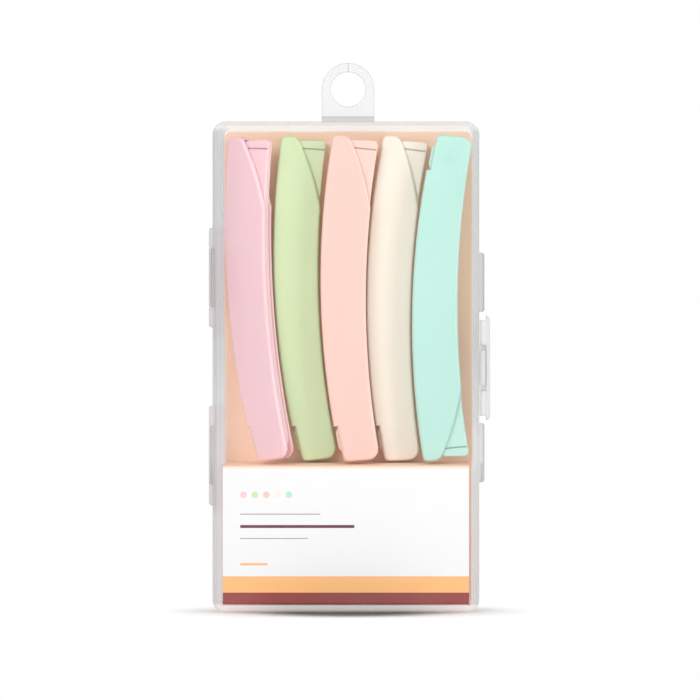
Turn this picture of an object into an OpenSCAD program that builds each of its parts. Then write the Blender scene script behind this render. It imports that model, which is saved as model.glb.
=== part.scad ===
// Five folding eyebrow razors in a clear hinged case with a hang tab.
// Millimetres. +Z is up, the front of the case faces -Y, and the origin is under the middle of the box.
// Each razor is drawn with its pivot at zero, its long side upwards and its spine to the left,
// and is then stood on the card's shelf in the case.

/* [Razor handle] */
// Widest width of a handle, spine to open side
handle_w = 13.8; // [12.5:0.1:16]
// Thickness of a handle across its two plates
handle_t = 5; // [4.6:0.1:5.2]
// Radius of the spine's long curve
spine_r = 250; // [220:5:300]
// Radius of the open side's long curve
open_r = 270; // [240:5:320]
// Height above the pivot where the spine is furthest out
spine_crown = 55; // [50:1:60]
// Height above the pivot where the open side is furthest in
open_crown = 50; // [46:1:56]
// Height above the pivot where the leaf-shaped tip starts
leaf_start = 69; // [62:1:74]
// Radius of the leaf's curved side
leaf_r = 80; // [70:1:95]
// Radius of the handle's rounded tip
tip_r = 3.2; // [2.6:0.1:3.8]
// Radius of the tip's corner on the spine side
tip_corner_r = 1.6; // [1.1:0.1:2.2]
// Length of the handle below the pivot
heel_len = 7.2; // [6.8:0.1:8]
// Slope of the heel's end, in degrees
heel_tilt = 6; // [4:0.5:9]
// Radius of the heel's corner on the spine side
heel_corner_r = 1.5; // [1:0.1:2]
// Radius of the heel's corner on the open side
heel_open_r = 3.2; // [2:0.1:3.8]
// Thickness of the handle's spine wall
spine_wall = 1.3; // [1:0.1:1.8]
// Thickness of each of the handle's plates
plate_t = 1.1; // [0.9:0.05:1.2]
// Rounding of the handle's outer edges
handle_round = 0.8; // [0.4:0.05:0.85]
// Height above the pivot where the spine wall stops
spine_stop = 4.2; // [3.8:0.1:6]
// Step of the plates' edge below the spine wall
step_in = 1; // [0.6:0.1:1.4]

/* [Razor arm] */
// Width of the folding arm
arm_w = 8.5; // [7.5:0.1:9]
// Clearance of the arm to each plate
arm_side_gap = 0.15; // [0.1:0.01:0.25]
// Step of the arm's edge behind the handle's open side
arm_inset = 0.3; // [0.2:0.05:0.6]
// Clearance of the arm's free end to the end of its channel
arm_end_gap = 0.15; // [0.1:0.05:2]
// Rounding of the arm's long edges
arm_round = 0.5; // [0.2:0.05:0.8]
// Radius of the free end's corners
arm_corner_r = 1.5; // [0.8:0.1:2]
// Length of the thumb cap at the free end
cap_len = 2.5; // [2.2:0.1:5]
// Width of the groove below the thumb cap
groove_w = 0.4; // [0.2:0.05:0.6]
// Slope of the groove across the arm, in degrees
groove_tilt = 4; // [0:0.5:8]
// Depth of the groove
groove_depth = 0.25; // [0.15:0.05:0.5]
// Gap between the arm's round heel and the end of the spine wall
eye_gap = 0.2; // [0.15:0.05:0.4]
// Step of the arm's heel behind the spine's curve
eye_inset = 0.25; // [0.2:0.05:0.5]
// Height of the arm's heel above the handle's heel end
eye_rise = 1.5; // [1.2:0.1:2]

/* [Blade] */
// Height above the pivot of the blade's middle
blade_mid = 67; // [60:1:68]
// Length of the blade
blade_len = 31; // [26:1:33]
// Full width of the blade
blade_w = 5; // [4:0.1:5.5]
// Width of the blade that stands out of the arm
blade_out = 1.5; // [1:0.1:1.8]
// Thickness of the blade
blade_t = 0.25; // [0.2:0.01:0.35]
// Width of the ground bevel at the blade's edge
bevel_w = 0.8; // [0.5:0.1:1]
// Thickness of the comb guard
guard_t = 1.3; // [1:0.05:1.5]
// Depth of the guard's seat in the arm
guard_seat = 0.8; // [0.6:0.1:1.2]
// Reach of the guard's teeth past the blade's edge
tooth_out = 0.2; // [0.1:0.05:0.3]
// Length of each guard tooth along the blade
tooth_len = 0.6; // [0.5:0.05:0.8]
// Number of guard teeth
tooth_count = 16; // [10:1:18]

/* [Pivot] */
// Radius of the pivot pin
pin_r = 1.25; // [1:0.05:1.5]
// Depth of the pin's blind seat in each plate
pin_seat = 0.7; // [0.4:0.05:0.75]
// Running clearance around every pin
running_gap = 0.05; // [0.03:0.01:0.08]

/* [Case] */
// Free width in the case beside the five handles
row_slack = 7.4; // [7:0.1:12]
// Free height above the razors
head_room = 2.2; // [1.5:0.1:6]
// Thickness of the case's side walls
wall = 1.8; // [1.6:0.1:2.4]
// Thickness of the case's front and back
face_t = 1.2; // [1:0.1:1.6]
// Outside depth of the case
case_d = 17.6; // [17.3:0.1:20]
// Depth of the lid half
lid_d = 7.8; // [7.4:0.1:8.4]
// Radius of the case's four corners
corner_r = 4; // [3:0.1:6]
// Rounding of the front and back edges
edge_round = 1.2; // [0.6:0.1:1.5]
// Height of the locating lip on the tray
lip_h = 1.2; // [0.8:0.1:1.6]
// Thickness of the lid's rim outside the lip
rim_t = 0.9; // [0.7:0.05:1]
// Fitting gap between the lid and the tray
fit_gap = 0.1; // [0.05:0.01:0.2]

/* [Case hinge] */
// Outside radius of the hinge barrels
barrel_r = 1.15; // [1.05:0.05:1.3]
// Radius of the moulded hinge bars
bar_r = 0.6; // [0.5:0.05:0.65]
// Length of each of the two hinges
hinge_len = 30; // [20:1:36]
// Length of each tray barrel at a hinge's ends
end_barrel_len = 6; // [4:0.5:8]
// Gap between neighbouring barrels
barrel_gap = 0.2; // [0.15:0.05:0.4]
// Height of the lower hinge's middle
lower_hinge_z = 47; // [30:0.5:55]
// Height of the upper hinge's middle
upper_hinge_z = 100.5; // [90:0.5:120]

/* [Latch] */
// Height of the latch's middle
latch_z = 73.4; // [60:0.2:90]
// Length of the latch flap
latch_len = 31.5; // [26:0.5:32]
// Thickness of the latch flap
flap_t = 1; // [0.8:0.05:1.4]
// Reach of the flap behind the parting line
flap_reach = 3.4; // [3:0.1:4]
// Radius of the flap's corners
flap_corner_r = 1.4; // [0.8:0.1:2]
// Radius of the latch's ears
ear_r = 1; // [0.95:0.05:1.2]
// Thickness of each ear
ear_t = 1.6; // [1.2:0.1:2]
// Distance between the ears, middle to middle
ear_pitch = 12; // [9:0.5:16]
// Height of the catch rib and of the snap bead, along the latch
catch_len = 10.5; // [10:0.5:20]
// Width of the catch rib
catch_w = 1; // [0.8:0.1:1.2]
// Height of the catch rib off the wall
catch_h = 1.2; // [0.9:0.05:1.3]
// Width of the snap bead
bead_w = 0.8; // [0.6:0.1:1]
// Length of each finger ledge beside the latch
ledge_len = 17.8; // [12:0.2:24]
// Reach of the ledges off the wall
ledge_out = 1.6; // [1:0.1:2]
// Thickness of each half's ledge
ledge_t = 1.3; // [0.8:0.1:1.6]
// Distance of the upper ledge's middle above the latch's middle
upper_ledge_rise = 25.7; // [25:0.1:30]
// Distance of the lower ledge's middle below the latch's middle
lower_ledge_drop = 25.5; // [25:0.1:30]

/* [Hang tab] */
// Width of the hang tab
tab_w = 15.8; // [14:0.2:20]
// Height of the hang hole's middle above the case
tab_rise = 9.9; // [9:0.1:14]
// Radius of the hang hole
hang_r = 5.25; // [4:0.05:5.5]
// Thickness of the hang tab
tab_t = 2; // [1.6:0.1:2.4]
// Offset of the tab from the case's middle
tab_offset = 0.6; // [-5:0.1:5]
// Height of the thicker root below the tab
root_h = 1.6; // [1:0.1:2.5]
// Extra thickness of the root
root_t = 0.8; // [0.4:0.1:1.5]

/* [Card] */
// Thickness of the printed card
card_t = 0.4; // [0.3:0.05:0.5]
// Height of the card's folded front panel
panel_h = 42.5; // [36:0.1:50]
// Fall of the card's shelf towards the front
shelf_fall = 0.9; // [0:0.1:1.5]
// Gap of the card to the case beside it
card_side_gap = 1.3; // [0.8:0.1:2]
// Gap of the card to the case's front and back
card_gap = 0.1; // [0.05:0.05:0.3]
// Gap below the card
card_lift = 0.6; // [0.4:0.1:1]
// Gap of each razor to what it stands on
seat_gap = 0.3; // [0.1:0.05:0.4]
// Gap between the card's upper edge and the case
card_top_gap = 0.8; // [0.6:0.1:4]
// Radius of the card's two upper corners
card_corner_r = 2.5; // [1:0.1:5]

/* [Hidden] */
// Length by which a cutting shape runs past what it cuts
overrun = 0.5;

// The razors, from left to right
razor_names = ["pink", "green", "salmon", "cream", "mint"];
razor_colors = ["#f7c8d2", "#cfe3ae", "#fbc3b2", "#f7ead6", "#aef0da"];
// Where each pivot lies, as a share of the case's inner width from its middle
pivot_x_shares = [-0.2997, -0.1302, 0.038, 0.2005, 0.4039];
// How far each razor leans to the right at its top, in degrees
leans = [-2.1, 0, 1.8, 3.5, -1.3];
// How far each razor is rolled about its own length, in degrees
rolls = [-30, 0, 0, 0, 0];
// Which razors lie in the front layer; the others lie against the card
in_front = [false, false, true, false, true];
// Which razors stand on their tips
turned_over = [false, false, false, false, true];
// Gap between the two layers of razors
layer_gap = 0.4;
// Distance of the pivot from the widest point of the spine, as a share of the handle's width
pivot_in_share = 0.884;
// Angle between the leaf's side and the razor's length where the leaf starts
leaf_angle = 10;
// Small steps that part the rounded heel and tip from the long curves, so that no two surfaces only touch
heel_step = 0.04;
tip_step = 0.03;

// Handle outline: three arc centres, with x across the handle and y along it
spine_x = -handle_w * pivot_in_share;
open_x = spine_x + handle_w;
spine_c = [spine_x + spine_r, spine_crown];
open_c = [open_x + open_r, open_crown];
leaf_c = [arc_x(open_c, open_r, leaf_start) - leaf_r * cos(leaf_angle),
          leaf_start - leaf_r * sin(leaf_angle)];
tip_c = circles_meet(spine_c, spine_r - tip_r, leaf_c, leaf_r - tip_r);
tip_leaf_way = unit(tip_c - leaf_c);
tip_top = tip_c.y + tip_r;
tip_corner = inside_arc(spine_c, spine_r - tip_corner_r, tip_top - tip_corner_r);
slot_t = handle_t - 2 * plate_t;
slot_top = tip_c.y + tip_r - spine_wall;

// The spine wall stops square to the handle's two curves at the pivot
heel_turn = (asin(spine_crown / spine_r) + asin(open_crown / open_r)) / 2;
stop_corner = inside_arc(in_turned_frame(spine_c, heel_turn), spine_r, spine_stop) + [spine_wall, 0];

// The middles of the heel's two round corners, in a frame turned with the heel's end
spine_corner = inside_arc(in_turned_frame(spine_c, heel_tilt), spine_r - step_in - heel_corner_r,
                          heel_corner_r - heel_len);
open_corner = inside_arc(in_turned_frame(open_c, heel_tilt), open_r + heel_open_r,
                         heel_open_r - heel_len);

// Arm: a bar bent about the open side's centre
arm_t = slot_t - 2 * arm_side_gap;
arm_reach = slot_top - arm_end_gap;
arm_in_r = open_r + arm_inset;
arm_out_r = arm_in_r + arm_w;
arm_mid_r = (arm_in_r + arm_out_r) / 2;
arm_end_turn = asin((arm_reach + overrun - open_crown) / arm_in_r);
pivot_turn = asin(open_crown / arm_mid_r);
end_corner_z = arm_reach - arm_corner_r;
end_corners = [inside_arc(open_c, arm_out_r - arm_corner_r, end_corner_z),
               inside_arc(open_c, arm_in_r + arm_corner_r, end_corner_z)];
groove_mid = inside_arc(open_c, arm_mid_r, arm_reach - cap_len);
eye_r = norm(stop_corner) - eye_gap;
blade_turn = asin((blade_mid - open_crown) / arm_out_r);
tooth_step = (blade_len - tooth_len) / (tooth_count - 1);
pin_len = slot_t + 2 * pin_seat;

// Case: sized round the five razors and the card that they stand on
inner_w = len(razor_names) * handle_w + row_slack;
case_w = inner_w + 2 * wall;
card_bottom = wall + card_lift;
shelf_top = card_bottom + panel_h;
razor_bottom = shelf_top + seat_gap;
razor_h = tip_top + heel_drop(0, 0);
case_h = razor_bottom + razor_h + head_room + wall;
front_y = -case_d / 2;
parting_y = front_y + lid_d;
tray_d = case_d - lid_d;
inner_front_y = front_y + face_t;
inner_back_y = -front_y - face_t;
card_back_y = inner_back_y - card_gap;
card_face_y = card_back_y - card_t;
panel_y = inner_front_y + card_gap;
lip_w = case_w - 2 * (rim_t + fit_gap);
lip_corner_r = corner_r - rim_t - fit_gap;

// Hinge: its axis runs beside the left wall in the parting plane
axis_gap = 0.15;
hinge_x = -case_w / 2 - axis_gap;
relief_r = barrel_r + axis_gap;
lid_barrel_len = hinge_len - 2 * (end_barrel_len + barrel_gap);
snap_share = 0.7;
snap_slit = snap_share * 2 * bar_r;

// Latch: it turns on ears of the lid and hooks behind the rib on the tray
latch_gap = 0.1;
snap_gap = 0.05;
latch_x = case_w / 2 + ear_r + snap_gap;
latch_y = front_y + edge_round + ear_r;
flap_x = latch_x + ear_r + latch_gap;
flap_back_y = parting_y + flap_reach;
catch_share = 0.4;
catch_y = parting_y + catch_share * catch_w;
bead_y = catch_y + catch_w + latch_gap;
bead_x = case_w / 2 + catch_h + snap_gap;
ear_seat = ear_t / 2 + latch_gap;
stub_len = (latch_len - ear_pitch) / 2 - ear_seat - flap_corner_r;
// The two fine ribs inside the lid beside the latch
rib_run = 5.5;
rib_w = 0.5;
rib_h = 0.25;

// The box of the whole part is centred on the origin
left_reach = -(hinge_x - barrel_r);
right_reach = flap_x + flap_t;
case_x = (left_reach - right_reach) / 2;

// A razor's place: against the card, or in front of those that are
function pivot_y(i) =
    card_face_y - seat_gap - back_reach(rolls[i]) - (in_front[i] ? handle_t + layer_gap : 0);
function pivot_z(i) =
    razor_bottom + (turned_over[i] ? tip_drop(leans[i]) : heel_drop(leans[i], rolls[i]));

// How far the spine of a rolled razor lies behind its pivot
function back_reach(roll) =
    handle_round + (handle_t / 2 - handle_round) * cos(roll) + (spine_x + handle_round) * sin(roll);

// How far the lowest point of a standing razor lies below its pivot
function heel_drop(lean, roll) =
    let (across = spine_corner.x * cos(heel_tilt) - spine_corner.y * sin(heel_tilt),
         along = spine_corner.x * sin(heel_tilt) + spine_corner.y * cos(heel_tilt))
    heel_corner_r - along * cos(lean) + across * cos(roll) * sin(lean);
function tip_drop(lean) =
    max(tip_r + tip_c.y * cos(lean) + tip_c.x * sin(lean),
        tip_corner_r + tip_corner.y * cos(lean) + tip_corner.x * sin(lean));

// Geometry helpers
function unit(v) = v / norm(v);
function arc_x(c, r, y) = c.x - sqrt(r * r - (y - c.y) * (y - c.y));
function inside_arc(c, r, y) = [arc_x(c, r, y), y];
function in_turned_frame(p, turn) =
    [p.x * cos(turn) + p.y * sin(turn), p.y * cos(turn) - p.x * sin(turn)];
function circles_meet(a, ra, b, rb) =
    let (d = norm(b - a), along = (d * d + ra * ra - rb * rb) / (2 * d),
         up = sqrt(ra * ra - along * along), u = (b - a) / d)
    a + along * u + up * [u.y, -u.x];

// Fineness of long curves and of small rounds
$fn = 48;
long_fn = 256;

// Turns a shape drawn flat, with y along the razor or up the case, to stand in the XZ plane
module stand() {
    rotate([90, 0, 0]) children();
}

// A slab of a flat shape, centred on the XZ plane
module slab(t) {
    stand() linear_extrude(t, center = true) children();
}

module rounded_rect(w, h, r) {
    union() {
        translate([0, r]) square([w, h - 2 * r]);
        translate([r, 0]) square([w - 2 * r, h]);
        for (x = [r, w - r], y = [r, h - r])
            translate([x, y]) circle(r);
    }
}

// The quarter of a disc that rounds a section's corner
module quarter_round(r) {
    intersection() {
        circle(r);
        square(r);
    }
}

// The half section of a disc or bar whose outer rim is rounded on both faces
module rimmed_section(from_r, to_r, t, round_r) {
    translate([from_r, -t / 2]) square([to_r - from_r - round_r, t]);
    translate([from_r, round_r - t / 2]) square([to_r - from_r, t - 2 * round_r]);
    translate([to_r - round_r, t / 2 - round_r]) quarter_round(round_r);
    mirror([0, 1]) translate([to_r - round_r, t / 2 - round_r]) quarter_round(round_r);
}

// A big disc about an arc's centre, with a rounded rim
module rimmed_disc(c, r, t, round_r, inner = 0) {
    translate([c.x, 0, c.y]) stand()
        rotate_extrude($fn = long_fn) rimmed_section(inner, r, t, round_r);
}

// All that lies outside an arc, with a rounded inner rim
module rimmed_surround(c, r, reach, t, round_r) {
    translate([c.x, 0, c.y]) stand()
        rotate_extrude($fn = long_fn)
            translate([2 * r + reach, 0]) mirror([1, 0]) rimmed_section(0, r + reach, t, round_r);
}

// The region above the long curves, where the tip's round corners take over
module tip_region() {
    polygon([tip_c, tip_c + 2 * handle_w * tip_leaf_way, tip_c + [4 * handle_w, 4 * handle_w],
             [-4 * handle_w, tip_c.y + 4 * handle_w], [-4 * handle_w, tip_corner.y],
             [tip_c.x, tip_corner.y]]);
}

// The regions outside the middles of the heel's two corners, where the round corners take over
module heel_regions() {
    rotate(heel_tilt) {
        translate([spine_corner.x - 4 * handle_w, spine_corner.y - 4 * heel_len])
            square([4 * handle_w, 4 * heel_len]);
        translate([open_corner.x, open_corner.y - 4 * heel_len]) square([4 * handle_w, 4 * heel_len]);
    }
}

// The wide region above a turned line at a height z over the pivot
module above_line(turn, z) {
    rotate([0, -turn, 0]) translate([-4 * handle_w, -handle_t, z])
        cube([8 * handle_w, 2 * handle_t, 3 * leaf_start]);
}

// The heel's straight end and all above it, with its edges rounded
module above_heel() {
    rotate([0, -heel_tilt, 0]) translate([-2 * handle_w, 0, 0])
        rotate([90, 0, 90]) linear_extrude(4 * handle_w)
            translate([-handle_t / 2 - heel_step, -heel_len])
                rounded_rect(handle_t + 2 * heel_step, 3 * leaf_start, handle_round);
}

// Everything between the handle's long curves; the spine steps in where its wall stops
module between_curves() {
    intersection() {
        union() {
            rimmed_disc(spine_c, spine_r - step_in, handle_t, handle_round, spine_r / 2);
            intersection() {
                rimmed_disc(spine_c, spine_r, handle_t, handle_round, spine_r / 2);
                above_line(heel_turn, spine_stop);
            }
        }
        rimmed_surround(open_c, open_r, 2 * handle_w, handle_t, handle_round);
        union() {
            rimmed_disc(leaf_c, leaf_r, handle_t, handle_round);
            slab(2 * handle_t) translate([-2 * handle_w, leaf_c.y - 3 * tip_c.y])
                square([4 * handle_w, 3 * tip_c.y]);
        }
    }
}

module handle_blank() {
    intersection() {
        between_curves();
        above_heel();
        slab(2 * handle_t) difference() {
            translate([-3 * handle_w, -3 * heel_len]) square([6 * handle_w, 3 * heel_len + 2 * tip_c.y]);
            tip_region();
            heel_regions();
        }
    }
    rimmed_disc(tip_c, tip_r - tip_step, handle_t, handle_round);
    rimmed_disc(tip_corner, tip_corner_r - tip_step, handle_t, handle_round);
    translate([tip_corner.x, 0, tip_top - 2 * tip_corner_r]) rotate([90, 0, 90])
        linear_extrude(tip_c.x - tip_corner.x)
            translate([-handle_t / 2, 0])
                rounded_rect(handle_t, 2 * (tip_corner_r - tip_step), handle_round);
    rotate([0, -heel_tilt, 0]) {
        rimmed_disc(spine_corner, heel_corner_r - heel_step, handle_t, handle_round);
        rimmed_disc(open_corner, heel_open_r - heel_step, handle_t, handle_round);
    }
}

// The channel that the arm folds into, open on the handle's right
module handle_slot() {
    slab(slot_t) {
        intersection() {
            translate(spine_c) circle(spine_r - spine_wall, $fn = long_fn);
            translate([-2 * handle_w, -3 * heel_len]) square([4 * handle_w, slot_top + 3 * heel_len]);
        }
        rotate(heel_turn) translate([-handle_w, -3 * heel_len])
            square([2 * handle_w, spine_stop + 3 * heel_len]);
    }
}

module razor_handle() {
    difference() {
        handle_blank();
        handle_slot();
        stand() cylinder(h = pin_len, r = pin_r, center = true);
    }
}

// Carries a shape to the arm's curve: y runs along the arm, and x is its distance from the centre, negated
module on_arm(turn) {
    translate([open_c.x, 0, open_c.y]) rotate([0, turn, 0]) children();
}

// What lies above the arm's free end and outside its two round corners
module past_arm_end() {
    slab(2 * handle_t) difference() {
        translate([-2 * handle_w, end_corner_z]) square([4 * handle_w, 6 * arm_corner_r]);
        for (corner = end_corners)
            translate(corner) circle(arm_corner_r);
        translate([end_corners[0].x, end_corner_z - overrun])
            square([end_corners[1].x - end_corners[0].x, arm_corner_r + overrun]);
    }
}

// The arm's round heel about the pivot, cut back to the handle's outline
module arm_heel() {
    intersection() {
        rimmed_disc([0, 0], eye_r, arm_t, arm_round);
        rimmed_disc(spine_c, spine_r - eye_inset, arm_t, arm_round, spine_r / 2);
        rimmed_surround(open_c, arm_in_r, 2 * handle_w, arm_t, arm_round);
        above_line(heel_tilt, eye_rise - heel_len);
    }
}

module blade_plate(from_x, to_x, length, t) {
    on_arm(blade_turn) translate([from_x, -t / 2, -length / 2]) cube([to_x - from_x, t, length]);
}

module razor_arm() {
    difference() {
        union() {
            translate([open_c.x, 0, open_c.y]) stand()
                rotate_extrude(angle = arm_end_turn + pivot_turn, start = 180 - arm_end_turn,
                               $fn = long_fn)
                    translate([arm_mid_r, 0]) union() {
                        rimmed_section(0, arm_w / 2, arm_t, arm_round);
                        mirror([1, 0]) rimmed_section(0, arm_w / 2, arm_t, arm_round);
                    }
            arm_heel();
        }
        stand() cylinder(h = 2 * handle_t, r = pin_r + running_gap, center = true);
        past_arm_end();
        for (s = [-1, 1])
            translate([groove_mid.x, 0, groove_mid.y]) rotate([0, groove_tilt, 0])
                translate([-arm_w, s * arm_t / 2 - groove_depth, -groove_w / 2])
                    cube([2 * arm_w, 2 * groove_depth, groove_w]);
        blade_plate(-arm_out_r - overrun, -arm_out_r - blade_out + blade_w, blade_len, blade_t);
        blade_plate(-arm_out_r - overrun, -arm_out_r + guard_seat, blade_len, guard_t);
    }
}

module razor_blade() {
    edge_x = -arm_out_r - blade_out;
    color("#c9ccd0") on_arm(blade_turn) translate([0, 0, -blade_len / 2]) linear_extrude(blade_len)
        polygon([[edge_x, 0], [edge_x + bevel_w, -blade_t / 2], [edge_x + blade_w, -blade_t / 2],
                 [edge_x + blade_w, blade_t / 2], [edge_x + bevel_w, blade_t / 2]]);
}

module razor_blade_guard() {
    color("#f4f4f2") difference() {
        union() {
            blade_plate(-arm_out_r - blade_out / 3, -arm_out_r + guard_seat, blade_len, guard_t);
            for (i = [0 : tooth_count - 1])
                on_arm(blade_turn)
                    translate([-arm_out_r - blade_out - tooth_out, -guard_t / 2,
                               i * tooth_step - blade_len / 2])
                        cube([blade_out + tooth_out + guard_seat, guard_t, tooth_len]);
        }
        blade_plate(-arm_out_r - blade_out, -arm_out_r + guard_seat + overrun,
                    blade_len + overrun, blade_t);
    }
}

module razor_pivot_pin() {
    color("#b9bcc0") stand() cylinder(h = pin_len, r = pin_r, center = true);
}

// Stands razor number i on the shelf
module place_razor(i) {
    translate([case_x + pivot_x_shares[i] * inner_w, pivot_y(i), pivot_z(i)])
        rotate([0, leans[i], 0]) rotate([0, 0, rolls[i]]) rotate([turned_over[i] ? 180 : 0, 0, 0])
            children();
}

// The section of a case half at its edge: depth upwards, with the outer corner rounded
module edge_section(reach, depth, round_r) {
    union() {
        square([reach - round_r, depth]);
        square([reach, depth - round_r]);
        translate([reach - round_r, depth - round_r]) quarter_round(round_r);
    }
}

// A block w wide, h high and depth deep towards +Z, with round corners and a rounded far edge
module soft_block(w, h, depth, corner, round_r) {
    translate([corner - w / 2, corner, 0]) cube([w - 2 * corner, h - 2 * corner, depth]);
    for (side = [0, 1])
        translate([0, h / 2, 0]) rotate([0, 0, 180 * side]) {
            translate([w / 2 - corner, h / 2 - corner, 0]) rotate([90, 0, 0])
                linear_extrude(h - 2 * corner) edge_section(corner, depth, round_r);
            translate([corner - w / 2, h / 2 - corner, 0]) rotate([90, 0, 90])
                linear_extrude(w - 2 * corner) edge_section(corner, depth, round_r);
            translate([w / 2 - corner, h / 2 - corner, 0])
                rotate_extrude(angle = 90) edge_section(corner, depth, round_r);
            translate([corner - w / 2, h / 2 - corner, 0]) rotate([0, 0, 90])
                rotate_extrude(angle = 90) edge_section(corner, depth, round_r);
        }
}

// One half of the case, open towards its parting plane at z = 0
module half_shell(depth) {
    difference() {
        soft_block(case_w, case_h, depth, corner_r, edge_round);
        translate([0, wall, -overrun])
            soft_block(inner_w, case_h - 2 * wall, depth - face_t + overrun,
                       corner_r - wall, edge_round / 2);
    }
}

module lid_side() {
    translate([0, parting_y, 0]) stand() children();
}

module tray_side() {
    translate([0, parting_y, 0]) mirror([0, 1, 0]) stand() children();
}

// A round bar up the hinge's axis
module hinge_bar(from_z, length, r) {
    translate([hinge_x, parting_y, from_z]) cylinder(h = length, r = r);
}

// A tray barrel whose outer end, up or down, is bevelled
module end_barrel(from_z, bevel_up) {
    bevel = barrel_r - bar_r;
    body_z = bevel_up ? from_z : from_z + bevel;
    hinge_bar(body_z, end_barrel_len - bevel, barrel_r);
    translate([hinge_x, parting_y, bevel_up ? from_z + end_barrel_len - bevel : from_z])
        cylinder(h = bevel, r1 = bevel_up ? barrel_r : bar_r, r2 = bevel_up ? bar_r : barrel_r);
}

module tray_hinge(mid_z) {
    end_barrel(mid_z - hinge_len / 2, false);
    end_barrel(mid_z + hinge_len / 2 - end_barrel_len, true);
    hinge_bar(mid_z - hinge_len / 2 + bar_r, hinge_len - 2 * bar_r, bar_r);
}

// Finger ledges on both halves beside the latch
module ledges() {
    for (z = [latch_z + upper_ledge_rise, latch_z - lower_ledge_drop])
        translate([case_w / 2 - wall / 2, z - ledge_len / 2, 0])
            linear_extrude(ledge_t) rounded_rect(wall / 2 + ledge_out, ledge_len, ledge_out / 2);
}

// The hang tab stands on the tray's top wall and is moulded with it
module hang_tab() {
    color("#dfe4e4", 0.5) translate([case_x + tab_offset, parting_y, case_h]) difference() {
        mirror([0, 1, 0]) stand() {
            linear_extrude(tab_t) {
                translate([0, tab_rise]) circle(tab_w / 2);
                translate([-tab_w / 2, 0]) square([tab_w, tab_rise]);
            }
            translate([-tab_w / 2, 0, 0]) cube([tab_w, root_h, tab_t + root_t]);
        }
        translate([0, 0, tab_rise]) stand() cylinder(h = 2 * case_d, r = hang_r, center = true);
    }
}

module case_tray() {
    color("#dfe4e4", 0.5) translate([case_x, 0, 0]) difference() {
        union() {
            tray_side() half_shell(tray_d);
            lid_side() linear_extrude(lip_h) difference() {
                translate([-lip_w / 2, rim_t + fit_gap])
                    rounded_rect(lip_w, case_h - 2 * (rim_t + fit_gap), lip_corner_r);
                translate([-inner_w / 2, wall])
                    rounded_rect(inner_w, case_h - 2 * wall, corner_r - wall);
            }
            for (z = [lower_hinge_z, upper_hinge_z]) tray_hinge(z);
            tray_side() ledges();
            translate([case_w / 2 - wall / 2, catch_y, latch_z - catch_len / 2])
                cube([catch_h + wall / 2, catch_w, catch_len]);
        }
        for (z = [lower_hinge_z, upper_hinge_z])
            difference() {
                hinge_bar(z - lid_barrel_len / 2 - barrel_gap, lid_barrel_len + 2 * barrel_gap, relief_r);
                hinge_bar(z - hinge_len / 2, hinge_len, bar_r);
            }
    }
}

// A lid barrel with its bore and the slit that snaps over the tray's bar
module lid_barrel(mid_z) {
    hinge_bar(mid_z - lid_barrel_len / 2, lid_barrel_len, barrel_r);
}

module lid_barrel_bore(mid_z) {
    hinge_bar(mid_z - hinge_len / 2, hinge_len, bar_r + running_gap);
    translate([hinge_x, parting_y, mid_z]) rotate([0, 0, 225])
        translate([0, -snap_slit / 2, -lid_barrel_len / 2 - overrun])
            cube([2 * barrel_r, snap_slit, lid_barrel_len + 2 * overrun]);
}

module lid_ears() {
    for (s = [-1, 1])
        translate([0, latch_y, latch_z + s * ear_pitch / 2 - ear_t / 2]) difference() {
            union() {
                translate([latch_x, 0, 0]) cylinder(h = ear_t, r = ear_r);
                translate([case_w / 2 - wall / 2, -ear_r, 0])
                    cube([latch_x - case_w / 2 + wall / 2, 2 * ear_r, ear_t]);
            }
            translate([latch_x, 0, -overrun]) cylinder(h = ear_t + 2 * overrun, r = bar_r + running_gap);
        }
}

module case_lid() {
    color("#e6eaea", 0.35) translate([case_x, 0, 0]) difference() {
        union() {
            difference() {
                lid_side() half_shell(lid_d);
                lid_side() translate([-case_w / 2 + rim_t, rim_t, -overrun])
                    linear_extrude(lip_h + fit_gap + overrun)
                        rounded_rect(case_w - 2 * rim_t, case_h - 2 * rim_t, corner_r - rim_t);
            }
            for (z = [lower_hinge_z, upper_hinge_z]) lid_barrel(z);
            lid_side() translate([0, 0, fit_gap]) ledges();
            lid_ears();
            for (s = [-1, 1])
                translate([inner_w / 2 - rib_run, inner_front_y - rib_h,
                           latch_z + (s * ear_pitch - rib_w) / 2])
                    cube([rib_run + wall / 2, 2 * rib_h, rib_w]);
        }
        for (z = [lower_hinge_z, upper_hinge_z]) {
            lid_barrel_bore(z);
            for (s = [-1, 1])
                hinge_bar(z + s * (hinge_len - end_barrel_len) / 2 - end_barrel_len / 2 - barrel_gap,
                          end_barrel_len + 2 * barrel_gap, relief_r);
        }
    }
}

module case_latch() {
    color("#e2e6e6", 0.5) translate([case_x, 0, 0]) {
        intersection() {
            translate([0, flap_back_y, 0]) stand()
                linear_extrude(flap_back_y - latch_y + 2 * ear_r)
                    translate([latch_x - 4 * ear_r, latch_z - latch_len / 2])
                        rounded_rect(right_reach - latch_x + 4 * ear_r, latch_len, flap_corner_r);
            translate([0, 0, latch_z - latch_len / 2]) linear_extrude(latch_len)
                translate([flap_x, latch_y - ear_r / 2])
                    square([flap_t, flap_back_y - latch_y + ear_r / 2]);
        }
        for (s = [-1, 1])
            translate([latch_x, latch_y, latch_z + s * (ear_pitch + stub_len + 2 * ear_seat) / 2]) {
                cylinder(h = stub_len, r = ear_r - snap_gap, center = true);
                translate([0, -ear_r / 2, -stub_len / 2])
                    cube([ear_r + latch_gap + flap_t / 2, ear_r, stub_len]);
            }
        translate([latch_x, latch_y, latch_z - ear_pitch / 2 - ear_seat - ear_r])
            cylinder(h = ear_pitch + 2 * (ear_seat + ear_r), r = bar_r);
        translate([bead_x, bead_y, latch_z - catch_len / 2])
            cube([flap_x - bead_x + flap_t / 2, bead_w, catch_len]);
    }
}

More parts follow.
